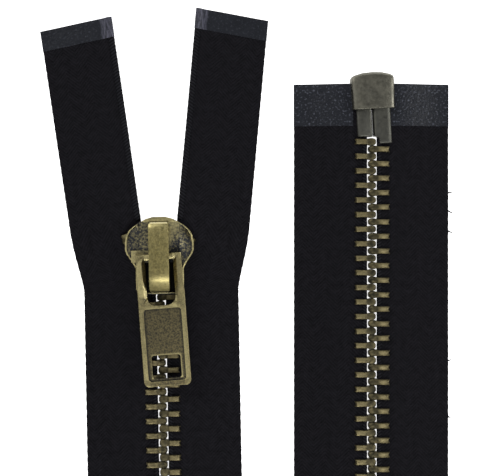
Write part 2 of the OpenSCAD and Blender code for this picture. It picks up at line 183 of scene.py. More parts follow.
def route(t):
    """The middle line of the closed chain."""
    lift = TAPE_EDGE * math.sin(turn(t))
    if t < STRAIGHT_L:
        return Vector((SLIDER.x + t * math.sin(LEAN), SLIDER.y - t * math.cos(LEAN), SLIDER_Z))
    if t < bend_t:
        u = (t - STRAIGHT_L) / TWIST_L
        shift = TWIST_L * math.sin(LEAN) * (u - u ** 3 + u ** 4 / 2)
        x = SLIDER.x + STRAIGHT_L * math.sin(LEAN) + shift
        return Vector((x, straight_y - u * TWIST_L, SLIDER_Z * math.cos(turn(t)) + lift))
    if t < untwist_t:
        a = (t - bend_t) / bend_r
        x = edge_x + bend_r * (1 - math.cos(a))
        return Vector((x, bend_y - bend_r * math.sin(a), TAPE_EDGE))
    return Vector((BOX_X, bend_y + t - untwist_t, BOX_Z * math.cos(turn(t)) + lift))


STEP = 0.5
BOX_LEG_L = 112
stations_t = np.arange(0, leg_t + BOX_LEG_L, STEP)
route_points = np.array([route(t) for t in stations_t])
step_lengths = np.linalg.norm(np.diff(route_points, axis=0), axis=1)
stations_s = np.concatenate([[0], np.cumsum(step_lengths)])


def t_at(s):
    """The route's parameter at a length along the chain."""
    return s if s < 0 else float(np.interp(s, stations_s, stations_t))


def s_at(t):
    """The length along the chain at the route's parameter."""
    return float(np.interp(t, stations_t, stations_s))


def frame_at(s):
    """Place, direction across to the right tape, direction up the zipper and front, at s."""
    t = t_at(s)
    down = (route(t + 0.05) - route(t - 0.05)).normalized()
    flat = Vector((-down.y, down.x, 0)).normalized()
    across = math.cos(turn(t)) * flat + math.sin(turn(t)) * Vector((0, 0, 1))
    across = (across - across.dot(down) * down).normalized()
    return route(t), across, -down, down.cross(across)


def opening(s, side):
    """How far a stringer is opened sideways inside the slider, and its angle."""
    v = min(1, max(0, (OPEN_S - s) / OPEN_L))
    slope = OPEN_L * math.tan(ANGLES[side])
    moved = OPEN_W[side] * v * v * (3 - 2 * v) + slope * (v ** 3 - v * v)
    rate = OPEN_W[side] * 6 * (v - v * v) + slope * (3 * v * v - 2 * v)
    return moved, math.atan(rate / OPEN_L)


END_DROP, END_DROP_L = 2.1, 28
LYING_Z = 0.38
SAG_FROM, SAG_W = 5, 14


def flat_height(s):
    """Height of a free end's middle above its height in the slider: it comes down to the table."""
    return -END_DROP * smooth((TOP_S - s) / END_DROP_L) if s < TOP_S else 0


def sag(s, x):
    """How far a flat tape hangs down towards its outer edge, to lie on the table."""
    t = t_at(s)
    flat = 1 - smooth(turn(t) / math.radians(40))
    base = BOX_Z if t > untwist_t else SLIDER_Z
    return -flat * (base + flat_height(s) - LYING_Z) * smooth((x - SAG_FROM) / SAG_W)


def stringer_point(side, s, x, z):
    """A point of a stringer: s along the zipper, x out from the chain's middle, z to the front."""
    if s >= OPEN_S:
        place, across, _, front = frame_at(s)
        return place + side * x * across + z * front
    moved, angle = opening(s, side)
    along = max(0, TOP_S - s)
    local_x = side * (moved + CORD_IN + (x - CORD_IN) * math.cos(angle) + along * math.sin(angle))
    local_y = -max(s, TOP_S) - (x - CORD_IN) * math.sin(angle) + along * math.cos(angle)
    turned = Matrix.Rotation(LEAN, 3, "Z") @ Vector((local_x, local_y, 0))
    return SLIDER + turned + Vector((0, 0, SLIDER_Z + flat_height(s) + z))


def grid_object(name, rows, uvs, turned_over=False):
    """A mesh of four-sided faces through rows of points in millimetres, with its own UV map."""
    if turned_over:
        rows = [row[::-1] for row in rows]
        uvs = [row[::-1] for row in uvs]
    columns = len(rows[0])
    corners = [i * columns + j for i in range(len(rows) - 1) for j in range(columns - 1)]
    faces = [(a, a + 1, a + columns + 1, a + columns) for a in corners]
    mesh = bpy.data.meshes.new(name)
    mesh.from_pydata([Vector(p) * MM for row in rows for p in row], [], faces)
    flat_uvs = [uv for row in uvs for uv in row]
    layer = mesh.uv_layers.new(name="weave")
    for loop in mesh.loops:
        layer.data[loop.index].uv = flat_uvs[loop.vertex_index]
    mesh.shade_smooth()
    made = bpy.data.objects.new(name, mesh)
    scene.collection.objects.link(made)
    return made


def choose(piece):
    """Selects one object and makes it the active one."""
    bpy.ops.object.select_all(action="DESELECT")
    piece.select_set(True)
    bpy.context.view_layer.objects.active = piece


def modify(piece, kind, **settings):
    """Adds a modifier and applies it."""
    choose(piece)
    modifier = piece.modifiers.new(kind.lower(), kind)
    for name, value in settings.items():
        setattr(modifier, name, value)
    bpy.ops.object.modifier_apply(modifier=modifier.name)


def finish_piece(piece, material, slot_name, *nodes):
    """Gives a piece its material and hides the CAD nodes that it stands for; slot_name is not used.
    """
    piece.data.materials.clear()
    piece.data.materials.append(material)
    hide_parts(*nodes)


# Black polyester, woven: a matte cloth whose ribs run in a zigzag. The real threads are about
# 0.3 mm apart and too fine to show, so the ribs are drawn 0.9 mm apart, in bands of 2.9 mm.
RIB = 0.9
BAND = 2.9

tape_material, tree, shader = new_material("woven_polyester")
uv = add(tree, "ShaderNodeUVMap", uv_map="weave")
parts = add(tree, "ShaderNodeSeparateXYZ", {0: uv.outputs[0]})
across_band = add(
    tree, "ShaderNodeMath", {0: parts.outputs[0], 1: BAND * MM}, operation="PINGPONG"
)
slanted = add(
    tree, "ShaderNodeMath", {0: across_band.outputs[0], 1: parts.outputs[1]}, operation="ADD"
)
waves = add(
    tree, "ShaderNodeMath", {0: slanted.outputs[0], 1: 2 * math.pi / (RIB * MM)},
    operation="MULTIPLY"
)
ribs = add(tree, "ShaderNodeMath", {0: waves.outputs[0]}, operation="SINE")
threads = add(tree, "ShaderNodeTexNoise", {"Vector": uv.outputs[0], "Scale": 2600, "Detail": 2})
lint = add(tree, "ShaderNodeTexNoise", {"Vector": uv.outputs[0], "Scale": 700, "Detail": 3})
rib_height = add(
    tree, "ShaderNodeMath", {0: ribs.outputs[0], 1: 0.22, 2: threads.outputs[0]},
    operation="MULTIPLY_ADD"
)
rough_height = add(
    tree, "ShaderNodeMath", {0: lint.outputs[0], 1: 1.2, 2: rib_height.outputs[0]},
    operation="MULTIPLY_ADD"
)
bump = add(
    tree, "ShaderNodeBump",
    {"Height": rough_height.outputs[0], "Strength": 0.7, "Distance": 0.12 * MM}
)
shade = add(
    tree, "ShaderNodeMapRange", {0: rough_height.outputs[0], 1: 0.55, 2: 1.75, 3: 0, 4: 1}
)
colour = add(
    tree, "ShaderNodeMix",
    {0: shade.outputs[0], 6: linear("#08080a"), 7: linear("#1b1a1e")}, data_type="RGBA"
)
tree.links.new(colour.outputs[2], shader.inputs["Base Color"])
tree.links.new(bump.outputs[0], shader.inputs["Normal"])
shader.inputs["Roughness"].default_value = 0.85
shader.inputs["Specular IOR Level"].default_value = 0.05

ACROSS = [1.9, 2.7, 3.8, 5.2, 6.8, 8.6, 10.4, 12.2, 14, 15.8, 17.3, 18.4, 19.1, TAPE_EDGE]
TAPE_ROW = 0.55
SCALLOP = 2.2


def tape(name, side, start, end, slanted_cut=False):
    """A woven tape from s = start to s = end. Its outer edge is scalloped where the weft turns
    back, and the cloth has a faint ripple."""
    count = round((end - start) / TAPE_ROW)
    rows, uvs = [], []
    for i in range(count + 1):
        row, row_uv = [], []
        for x in ACROSS:
            s = start + (end - start) * i / count
            if slanted_cut:
                s += (x - CORD_IN) * CUT_SLANT[side] * (1 - i / count)
            wave = 0.04 * math.sin(2 * math.pi * s / SCALLOP) * smooth((x - 17) / 2)
            ripple = 0.05 * math.sin(s / 7.3 + side) * smooth((x - 6) / 8)
            row.append(stringer_point(side, s, x + wave - 0.04, sag(s, x) + ripple))
            row_uv.append((x * MM, s * MM))
        rows.append(row)
        uvs.append(row_uv)
    made = grid_object(name, rows, uvs, turned_over=side == RIGHT)
    modify(made, "SOLIDIFY", thickness=TAPE_T * MM, offset=0, use_even_offset=False)
    bpy.ops.object.shade_smooth_by_angle(angle=math.radians(50))
    return made


tape_end_s = s_at(untwist_t + TAPE_END_Y - bend_y)


def stretches(side):
    """The stretches of one side's tape and cord: each one's name, where it starts and ends, and
    the stretches of the frame that it stands for."""
    return (
        ("end", TOP_S - END_L[side], TOP_S, ["end"]),
        ("slider_leg", TOP_S, SPLIT_S, ["slider_leg"]),
        ("closed", SPLIT_S, tape_end_s, ["bend", "box_leg"]),
    )


def ride_as(piece, part):
    """Bakes the place of a slider leg or free end into its mesh; attaches the rest to the chain."""
    if part == "slider_leg":
        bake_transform(piece)
    elif part == "end":
        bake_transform(piece)
    else:
        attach(piece, "chain")


for word, side in SIDES.items():
    for part, start, end, stands_for in stretches(side):
        piece = tape(f"{word}_tape_{part}_woven", side, start, end, slanted_cut=part == "end")
        nodes = [f"{word}_tape_{node}" for node in stands_for]
        finish_piece(piece, tape_material, "tape", *nodes)
        ride_as(piece, part)

# A few threads have worked loose from the right tape's outer edge, each about 1 mm long. A real
# one is finer, and these are 0.4 mm thick so that they show. Each has its y, length and rise.
LOOSE_R = 0.2
LOOSE_Z = 0.45
LOOSE_ROOT = 0.4
LOOSE_THREADS = (
    (70.2, 0.95, 0.25), (65.9, 1.1, -0.8), (60.8, 1, -0.6), (27.9, 0.7, 0.4), (14.1, 0.6, -0.4)
)
loose_threads = bpy.data.curves.new("loose_threads", "CURVE")
loose_threads.dimensions = "3D"
loose_threads.bevel_depth = LOOSE_R * MM
loose_threads.bevel_resolution = 1
loose_threads.use_fill_caps = True
for y, length, rise in LOOSE_THREADS:
    spline = loose_threads.splines.new("POLY")
    spline.points.add(4)
    for i, point in enumerate(spline.points):
        share = i / 4
        x = BOX_X + TAPE_EDGE - LOOSE_ROOT + (length + LOOSE_ROOT) * share
        point.co = (*(Vector((x, y + rise * share, LOOSE_Z + 0.2 * share)) * MM), 1)
        point.radius = 1 - 0.4 * share
piece = bpy.data.objects.new("right_tape_loose_threads", loose_threads)
scene.collection.objects.link(piece)
choose(piece)
bpy.ops.object.convert(target="MESH")
piece = bpy.context.object
piece.data.uv_layers.new(name="weave")
finish_piece(piece, tape_material, "tape")
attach(piece, "chain")


# ---- Cords ----
# The beaded inner edge of each tape, 1.3 mm thick in the teeth and 1.7 mm on the free ends, woven
# round a core in the same loom. Its cover makes small slanted beads, part of its shape.
CORD_R = {"end": 0.84, "slider_leg": 0.66, "closed": 0.66}
CORD_MIDDLE = {"end": 2.0, "slider_leg": 1.84, "closed": 1.84}
CORD_ROW = 0.6
CORD_AROUND = 12
BEAD_L = 1.6
STITCH = 0.8

# The same black polyester as the tapes, a little smoother, in slanted stitches 0.8 mm long.
cord_material, tree, shader = new_material("braided_polyester")
uv = add(tree, "ShaderNodeUVMap", uv_map="weave")
parts = add(tree, "ShaderNodeSeparateXYZ", {0: uv.outputs[0]})
twisted = add(
    tree, "ShaderNodeMath", {0: parts.outputs[0], 1: 0.5, 2: parts.outputs[1]},
    operation="MULTIPLY_ADD"
)
waves = add(
    tree, "ShaderNodeMath", {0: twisted.outputs[0], 1: 2 * math.pi / (STITCH * MM)},
    operation="MULTIPLY"
)
beads = add(tree, "ShaderNodeMath", {0: waves.outputs[0]}, operation="SINE")
shade = add(tree, "ShaderNodeMapRange", {0: beads.outputs[0], 1: -1, 2: 1, 3: 0, 4: 1})
colour = add(
    tree, "ShaderNodeMix",
    {0: shade.outputs[0], 6: linear("#08080a"), 7: linear("#1e1e22")}, data_type="RGBA"
)
bump = add(
    tree, "ShaderNodeBump", {"Height": beads.outputs[0], "Strength": 0.5, "Distance": 0.1 * MM}
)
tree.links.new(colour.outputs[2], shader.inputs["Base Color"])
tree.links.new(bump.outputs[0], shader.inputs["Normal"])
shader.inputs["Roughness"].default_value = 0.8
shader.inputs["Specular IOR Level"].default_value = 0.06


def close_tube(made):
    """Joins a tube's seam, fills its ends, and turns its faces outwards."""
    choose(made)
    bpy.ops.object.mode_set(mode="EDIT")
    bpy.ops.mesh.select_all(action="SELECT")
    bpy.ops.mesh.remove_doubles(threshold=0.01 * MM)
    bpy.ops.mesh.select_all(action="DESELECT")
    bpy.ops.mesh.select_non_manifold()
    bpy.ops.mesh.edge_face_add()
    bpy.ops.mesh.select_all(action="SELECT")
    bpy.ops.mesh.normals_make_consistent()
    bpy.ops.object.mode_set(mode="OBJECT")


def cord(name, side, start, end, radius, middle, slanted_cut):
    """A round beaded edge from s = start to s = end. Each end has two rows at the same place,
    the outer one drawn in to close it flat."""
    count = round((end - start) / CORD_ROW)
    rows, uvs = [], []
    for i in [0, *range(count + 1), count]:
        s = start + (end - start) * i / count
        if slanted_cut:
            s += middle * CUT_SLANT[side] * (1 - i / count)
        closing = 0.02 if len(rows) in (0, count + 2) else 1
        row, row_uv = [], []
        for j in range(CORD_AROUND + 1):
            a = 2 * math.pi * j / CORD_AROUND
            bead = radius * closing * (1 + 0.05 * math.sin(2 * math.pi * s / BEAD_L + a))
            row.append(stringer_point(side, s, middle + bead * math.cos(a), bead * math.sin(a)))
            row_uv.append((radius * a * MM, s * MM))
        rows.append(row)
        uvs.append(row_uv)
    made = grid_object(name, rows, uvs, turned_over=side == RIGHT)
    close_tube(made)
    return made


for word, side in SIDES.items():
    for part, start, end, stands_for in stretches(side):
        name = f"{word}_cord_{part}_braided"
        piece = cord(name, side, start, end, CORD_R[part], CORD_MIDDLE[part], part == "end")
        nodes = [f"{word}_cord_{node}" for node in stands_for]
        finish_piece(piece, cord_material, "cord", *nodes)
        ride_as(piece, part)


# ---- Films ----
# Thin plastic film, melted onto the tapes with a hot die: over both ends of the tapes so that
# they don't fray, and deeper at the box. It dulls the weave and catches the light.
FILM = 0.08
FILM_ROW = 0.7
END_FILM_L, BOX_FILM_L = 5, 10.4
BOX_FILM_IN = 4.7
CORD_OUT = 4.1

# Grey, half glossy film, cloudy where it has wrinkled. Its small bright flecks are painted glints
# of the weave, strongest at the box, and the bright streaks over the cord are a painted sheen.
film_material, tree, shader = new_material("heat_sealed_film")
uv = add(tree, "ShaderNodeUVMap", uv_map="weave")
weave = add(tree, "ShaderNodeTexVoronoi", {"Vector": uv.outputs[0], "Scale": 1500})
wrinkles = add(tree, "ShaderNodeTexNoise", {"Vector": uv.outputs[0], "Scale": 260, "Detail": 3})
glints = add(tree, "ShaderNodeTexNoise", {"Vector": uv.outputs[0], "Scale": 1900, "Detail": 1})
both = add(
    tree, "ShaderNodeMath", {0: wrinkles.outputs[0], 1: 1.5, 2: weave.outputs[0]},
    operation="MULTIPLY_ADD"
)
bump = add(
    tree, "ShaderNodeBump", {"Height": both.outputs[0], "Strength": 0.5, "Distance": 0.12 * MM}
)
base = add(
    tree, "ShaderNodeMix",
    {0: wrinkles.outputs[0], 6: linear("#101217"), 7: linear("#1f2127")}, data_type="RGBA"
)
# Painted glints: small bright flecks of the weave under the film, stronger towards the box.
bright = add(tree, "ShaderNodeMapRange", {0: glints.outputs[0], 1: 0.56, 2: 0.75, 3: 0, 4: 0.8})
parts = add(tree, "ShaderNodeSeparateXYZ", {0: uv.outputs[0]})
at_the_box = add(
    tree, "ShaderNodeMapRange", {0: parts.outputs[1], 1: 0, 2: 0.1, 3: 0.35, 4: 1}
)
painted_glint_flecks = add(
    tree, "ShaderNodeMath", {0: bright.outputs[0], 1: at_the_box.outputs[0]},
    operation="MULTIPLY"
)
# Painted sheen: bright streaks where the film is drawn over the round cord.
drawn_out = add(
    tree, "ShaderNodeMapping", {"Vector": uv.outputs[0], "Scale": (2600, 400, 1)}
)
streaks = add(
    tree, "ShaderNodeTexNoise", {"Vector": drawn_out.outputs[0], "Scale": 1, "Detail": 2}
)
painted_sheen_streaks = add(
    tree, "ShaderNodeMapRange", {0: streaks.outputs[0], 1: 0.4, 2: 0.65, 3: 0.15, 4: 0.9}
)
on_the_cord = add(
    tree, "ShaderNodeMapRange",
    {0: parts.outputs[0], 1: CORD_OUT * MM, 2: (CORD_OUT + 0.2) * MM, 3: 1, 4: 0}
)
cord_sheen_share = add(
    tree, "ShaderNodeMath", {0: on_the_cord.outputs[0], 1: painted_sheen_streaks.outputs[0]},
    operation="MULTIPLY"
)
with_painted_glints = add(
    tree, "ShaderNodeMix",
    {0: painted_glint_flecks.outputs[0], 6: base.outputs[2], 7: linear("#4a4d56")}, data_type="RGBA"
)
colour = add(
    tree, "ShaderNodeMix",
    {0: cord_sheen_share.outputs[0], 6: with_painted_glints.outputs[2], 7: linear("#50505c")}, data_type="RGBA"
)
tree.links.new(colour.outputs[2], shader.inputs["Base Color"])
tree.links.new(bump.outputs[0], shader.inputs["Normal"])
shader.inputs["Roughness"].default_value = 0.42
shader.inputs["Specular IOR Level"].default_value = 0.15


def half_height(x):
    """Half the thickness of tape and cord at x from the chain's middle."""
    inside = CORD_R["end"] ** 2 - (x - CORD_MIDDLE["end"]) ** 2
    return max(TAPE_T / 2, math.sqrt(inside) if inside > 0 else 0)


def film(name, side, start, end, inner, slanted_cut):
    """A closed sleeve of film round a tape from s = start to s = end."""
    outer = TAPE_EDGE + 0.02
    spread = [inner + (outer - inner) * (1 - math.cos(math.pi * j / 22)) / 2 for j in range(23)]
    loop = [(x, half_height(x) + FILM) for x in spread]
    loop += [(x, -half_height(x) - FILM) for x in spread[::-1]]
    count = max(6, round((end - start) / FILM_ROW))
    rows, uvs = [], []
    for i in range(count + 1):
        row, row_uv = [], []
        for j, (x, z) in enumerate(loop + loop[:1]):
            s = start + (end - start) * i / count
            if slanted_cut:
                s += (x - CORD_IN) * CUT_SLANT[side]
            row.append(stringer_point(side, s, x, sag(s, x) + z))
            row_uv.append((x * MM, s * MM))
        rows.append(row)
        uvs.append(row_uv)
    made = grid_object(name, rows, uvs)
    close_tube(made)
    made.data.shade_smooth()
    bpy.ops.object.shade_smooth_by_angle(angle=math.radians(40))
    return made


for word, side in SIDES.items():
    top = TOP_S - END_L[side]
    name = f"{word}_end_film_sealed"
    piece = film(name, side, top - 0.1, top + END_FILM_L, CORD_IN - 0.05, True)
    finish_piece(piece, film_material, "film", f"{word}_end_film")
    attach(piece, f"{word}_free_end")
    name = f"{word}_box_film_sealed"
    piece = film(name, side, tape_end_s - BOX_FILM_L, tape_end_s + 0.1, BOX_FILM_IN, False)
    finish_piece(piece, film_material, "film", f"{word}_box_film")
    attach(piece, "chain")


# ---- Teeth ----
# Stamped brass teeth, one every 3.6 mm on each tape, crimped over the cord, with an antique
# finish that is worn to bare brass on the legs. A tooth is a block drawn in at its neck.
PITCH = 3.635
TOOTH_LEG = 4.4
TOOTH_HALF_W, TOOTH_H = 0.65, 3.1
TOOTH_NOSE = -0.95
FIRST_S = -2.33
CRIMP_TURN, CRIMP_TILT = 0.012, 0.02


def antique_brass(name, dark, middle, bright, roughness, wear, grain=900, mottle=420):
    """Brass turned black in a bath and tumbled, so that edges and high spots are bare again. The
    attribute holds how much black patina is left, with painted shade; 2 is a painted shadow."""
    made, tree, shader = new_material(name)
    place = add(tree, "ShaderNodeTexCoord").outputs["Object"]
    pointed = add(tree, "ShaderNodeNewGeometry").outputs["Pointiness"]
    blotches = add(
        tree, "ShaderNodeTexNoise",
        {"Vector": place, "Scale": mottle, "Detail": 5, "Roughness": 0.7}
    )
    pits = add(
        tree, "ShaderNodeTexNoise",
        {"Vector": place, "Scale": grain * 2.2, "Detail": 3, "Roughness": 0.7}
    )
    edges = add(tree, "ShaderNodeMapRange", {0: pointed, 1: 0.5, 2: 0.5 + wear, 3: 0, 4: 1})
    hollows = add(tree, "ShaderNodeMapRange", {0: pointed, 1: 0.5 - wear, 2: 0.5, 3: 0, 4: 1})
    mottled = add(
        tree, "ShaderNodeMapRange", {0: blotches.outputs[0], 1: 0.36, 2: 0.64, 3: 0, 4: 1}
    )
    shaded = add(
        tree, "ShaderNodeMath", {0: mottled.outputs[0], 1: hollows.outputs[0]},
        operation="MULTIPLY"
    )
    patina = add(
        tree, "ShaderNodeMix",
        {0: shaded.outputs[0], 6: linear(dark), 7: linear(middle)}, data_type="RGBA"
    )
    worn = add(
        tree, "ShaderNodeMath", {0: edges.outputs[0], 1: pits.outputs[0]}, operation="MULTIPLY"
    )
    wear_share = add(
        tree, "ShaderNodeMath", {0: worn.outputs[0], 1: 1.7}, operation="MULTIPLY",
        use_clamp=True
    )
    colour = add(
        tree, "ShaderNodeMix",
        {0: wear_share.outputs[0], 6: patina.outputs[2], 7: linear(bright)}, data_type="RGBA"
    )
    rough = add(
        tree, "ShaderNodeMapRange",
        {0: pits.outputs[0], 1: 0.3, 2: 0.7, 3: roughness - 0.07, 4: roughness + 0.1}
    )
    bump = add(
        tree, "ShaderNodeBump",
        {"Height": pits.outputs[0], "Strength": 0.35, "Distance": 0.06 * MM}
    )
    left = add(tree, "ShaderNodeAttribute", attribute_name="patina_and_painted_shade").outputs["Fac"]
    patchy = add(
        tree, "ShaderNodeMapRange", {0: blotches.outputs[0], 1: 0.38, 2: 0.62, 3: 1.25, 4: 0.45}
    )
    share = add(
        tree, "ShaderNodeMath", {0: left, 1: patchy.outputs[0]}, operation="MULTIPLY",
        use_clamp=True
    )
    patina_and_painted_shade = add(
        tree, "ShaderNodeMix",
        {0: share.outputs[0], 6: colour.outputs[2], 7: linear(dark)}, data_type="RGBA"
    )
    # From 1 to 2 the colour darkens to near black. This is painted shadow beside and under the
    # slider's crown, not patina.
    deep = add(tree, "ShaderNodeMapRange", {0: left, 1: 1, 2: 2, 3: 0, 4: 1})
    with_painted_shadow = add(
        tree, "ShaderNodeMix",
        {0: deep.outputs[0], 6: patina_and_painted_shade.outputs[2], 7: linear("#0b0b0a")}, data_type="RGBA"
    )
    tree.links.new(with_painted_shadow.outputs[2], shader.inputs["Base Color"])
    tree.links.new(rough.outputs[0], shader.inputs["Roughness"])
    tree.links.new(bump.outputs[0], shader.inputs["Normal"])
    shader.inputs["Metallic"].default_value = 1
    return made


def start_block(name, low, high):
    """A cuboid between two corners, in millimetres."""
    bpy.ops.object.select_all(action="DESELECT")
    centre = [(a + b) / 2 for a, b in zip(low, high)]
    bpy.ops.mesh.primitive_cube_add(size=1, location=centre)
    made = bpy.context.object
    made.name = name
    made.scale = [b - a for a, b in zip(low, high)]
    bpy.ops.object.transform_apply(location=True, rotation=True, scale=True)
    return made


def slice_at(piece, axis, places):
    """Cuts loops across a block at places along an axis."""
    choose(piece)
    bpy.ops.object.mode_set(mode="EDIT")
    normal = [1 if i == axis else 0 for i in range(3)]
    for place in places:
        bpy.ops.mesh.select_all(action="SELECT")
        bpy.ops.mesh.bisect(plane_co=[place * n for n in normal], plane_no=normal)
    bpy.ops.object.mode_set(mode="OBJECT")


def pick(piece, test):
    """Selects the vertices whose place passes a test, and leaves the piece in edit mode."""
    choose(piece)
    bpy.ops.object.mode_set(mode="EDIT")
    bpy.ops.mesh.select_mode(type="VERT")
    bpy.ops.mesh.select_all(action="DESELECT")
    bpy.ops.object.mode_set(mode="OBJECT")
    for vertex in piece.data.vertices:
        vertex.select = bool(test(vertex.co))
    bpy.ops.object.mode_set(mode="EDIT")


def resize(piece, test, factors, centre=(0, 0, 0)):
    """Scales the chosen vertices about a point."""
    pick(piece, test)
    bpy.ops.transform.resize(value=factors, center_override=centre)
    bpy.ops.object.mode_set(mode="OBJECT")


def move(piece, test, by):
    """Moves the chosen vertices."""
    pick(piece, test)
    bpy.ops.transform.translate(value=by)
    bpy.ops.object.mode_set(mode="OBJECT")


def near(value, target, within=0.02):
    """Whether two lengths are the same."""
    return abs(value - target) < within


def cut(piece, cutter):
    """Takes one solid out of another."""
    modify(piece, "BOOLEAN", operation="DIFFERENCE", object=cutter, solver="EXACT")
    bpy.data.objects.remove(cutter, do_unlink=True)


def weld(piece, other):
    """Joins two solids into one."""
    modify(piece, "BOOLEAN", operation="UNION", object=other, solver="EXACT")
    bpy.data.objects.remove(other, do_unlink=True)


def soften(piece, width, segments=2, angle=35):
    """Rounds the sharp edges, and shades them smooth and the flat faces flat."""
    modify(
        piece, "BEVEL", width=width, segments=segments, limit_method="ANGLE",
        angle_limit=math.radians(angle), use_clamp_overlap=True
    )
    choose(piece)
    bpy.ops.object.shade_smooth_by_angle(angle=math.radians(42))
    modify(piece, "WEIGHTED_NORMAL", keep_sharp=True)


def store_patina_and_shade(piece, share):
    """Stores at each vertex, from its place, how much black patina is left and how much painted
    shade lies on it.
    """
    layer = piece.data.attributes.new("patina_and_painted_shade", "FLOAT", "POINT")
    for vertex, item in zip(piece.data.vertices, layer.data):
        item.value = share(vertex.co)


def put(piece, matrix):
    """Puts a piece that was modelled in millimetres in its place, in metres."""
    piece.data.transform(Matrix.Scale(MM, 4) @ matrix)
    piece.data.update()


# Tumbled brass: brown-black in the heads, patina with painted shade, and soft dull gold on the
# legs.
tooth_material = antique_brass("tumbled_brass_teeth", "#2b2a22", "#4c4534", "#756c4f", 0.5, 0.06)

HEAD_WIDTH = {
    TOOTH_NOSE: 0.55, -0.8: 0.95, -0.45: 1.26, 0: 1.38, 0.42: 1.38, 0.88: 1.24, 1.3: 1.08
}
HEAD_HEIGHT = {
    TOOTH_NOSE: 0.6, -0.8: 0.7, -0.45: 0.75, 0: 0.77, 0.42: 0.78, 0.88: 0.8, 1.3: 0.86
}
tooth = start_block(
    "tooth", (TOOTH_NOSE, -TOOTH_HALF_W, -TOOTH_H / 2), (TOOTH_LEG, TOOTH_HALF_W, TOOTH_H / 2)
)
slice_at(tooth, 0, [3.9, 1.75, 1.3, 0.88, 0.42, 0, -0.45, -0.8])
for place, share in HEAD_WIDTH.items():
    resize(tooth, lambda co, p=place: near(co.x, p), (1, share, HEAD_HEIGHT[place]))
resize(tooth, lambda co: near(co.x, TOOTH_LEG), (1, 1.05, 0.66))
slice_at(tooth, 1, [0])
move(tooth, lambda co: near(co.x, TOOTH_LEG) and near(co.y, 0), (-0.28, 0, 0))
move(tooth, lambda co: co.z > 0.8 and near(co.y, 0) and co.x < 0.5, (0, 0, 0.12))
move(tooth, lambda co: co.z < -0.8 and near(co.y, 0) and co.x < 0.5, (0, 0, -0.12))
soften(tooth, 0.09, 1, 40)
# The heads and necks are darker where they lie between their neighbours: black patina in the
# crevices, with painted shade.
store_patina_and_shade(tooth, lambda co: 0.8 if co.x < 0.7 else 0.5 if co.x < 1.5 else 0)

random.seed(7)


def tooth_places(side, start, end):
    """Where each tooth stands between two lengths along the chain, with a crimp's small error."""
    first = FIRST_S if side == LEFT else FIRST_S + PITCH / 2
    places = []
    for i in range(math.ceil((start - first) / PITCH), math.ceil((end - first) / PITCH)):
        s = first + i * PITCH
        edge = stringer_point(side, s, CORD_IN, 0)
        above = stringer_point(side, s - 0.05, CORD_IN, 0)
        below = stringer_point(side, s + 0.05, CORD_IN, 0)
        up = (above - below).normalized()
        out = stringer_point(side, s, CORD_IN + 1, 0) - edge
        out = (out - out.dot(up) * up).normalized()
        front = up.cross(out) * -side
        matrix = Matrix((out, up, front)).transposed().to_4x4()
        matrix.translation = edge - out * CORD_IN
        turned = Matrix.Rotation(random.gauss(0, CRIMP_TURN), 4, "Z")
        tilted = Matrix.Rotation(random.gauss(0, CRIMP_TILT), 4, "Y")
        places.append(matrix @ turned @ tilted)
    return places


def join(main, others):
    """Joins other objects into one."""
    bpy.ops.object.select_all(action="DESELECT")
    for other in (main, *others):
        other.select_set(True)
    bpy.context.view_layer.objects.active = main
    bpy.ops.object.join()


def copies(model, name, places):
    """One mesh with a copy of a model at each place."""
    made = []
    for place in places:
        copy = bpy.data.objects.new(name, model.data.copy())
        scene.collection.objects.link(copy)
        put(copy, place)
        if place.determinant() < 0:
            copy.data.flip_normals()
        made.append(copy)
    join(made[0], made[1:])
    made[0].name = name
    return made[0]


# The teeth end just below each pin. The insertion pin, on the left tape, is the longer one.
PIN_LOW = {LEFT: 82.4, RIGHT: 84.3}
PIN_GAP = 0.9
first_tooth = {LEFT: -2.4, RIGHT: -0.6}
for word, side in SIDES.items():
    last_s = s_at(untwist_t + PIN_LOW[side] - PIN_GAP - bend_y)
    for part, start, end, stands_for in (
        ("slider_leg", first_tooth[side], SPLIT_S, ["slider_leg"]),
        ("closed", SPLIT_S, last_s, ["bend", "box_leg"]),
    ):
        piece = copies(tooth, f"{word}_teeth_{part}_stamped", tooth_places(side, start, end))
        nodes = [f"{word}_teeth_{node}" for node in stands_for]
        finish_piece(piece, tooth_material, "antique_brass", *nodes)
        ride_as(piece, part)
bpy.data.objects.remove(tooth, do_unlink=True)


# ---- Top stops ----
# A folded brass strip, squeezed over the tape just above the last tooth of each side. Its
# outer end shows beside the slider. Each has its place along the chain and its length.
STOPS = {"left": (-5.3, 5.75), "right": (-4.1, 5.5)}
STOP_IN, STOP_HALF_W, STOP_HALF_T = -0.4, 1.2, 1.5

# The same tumbled brass as the teeth, a little darker.
stop_material = antique_brass("folded_brass_stop", "#26251e", "#403b2b", "#5a543c", 0.45, 0.05)


def on_inner_edge(side, s):
    """The frame of a stringer's inner edge at s, with x outwards and y up the zipper."""
    moved, angle = opening(s, side)
    here = Matrix.Translation(SLIDER + Vector((0, 0, SLIDER_Z))) @ Matrix.Rotation(LEAN, 4, "Z")
    here = here @ Matrix.Translation((side * (moved + CORD_IN), -s, 0))
    here = here @ Matrix.Rotation(-side * angle, 4, "Z")
    return here @ Matrix.Diagonal((side, 1, 1, 1))


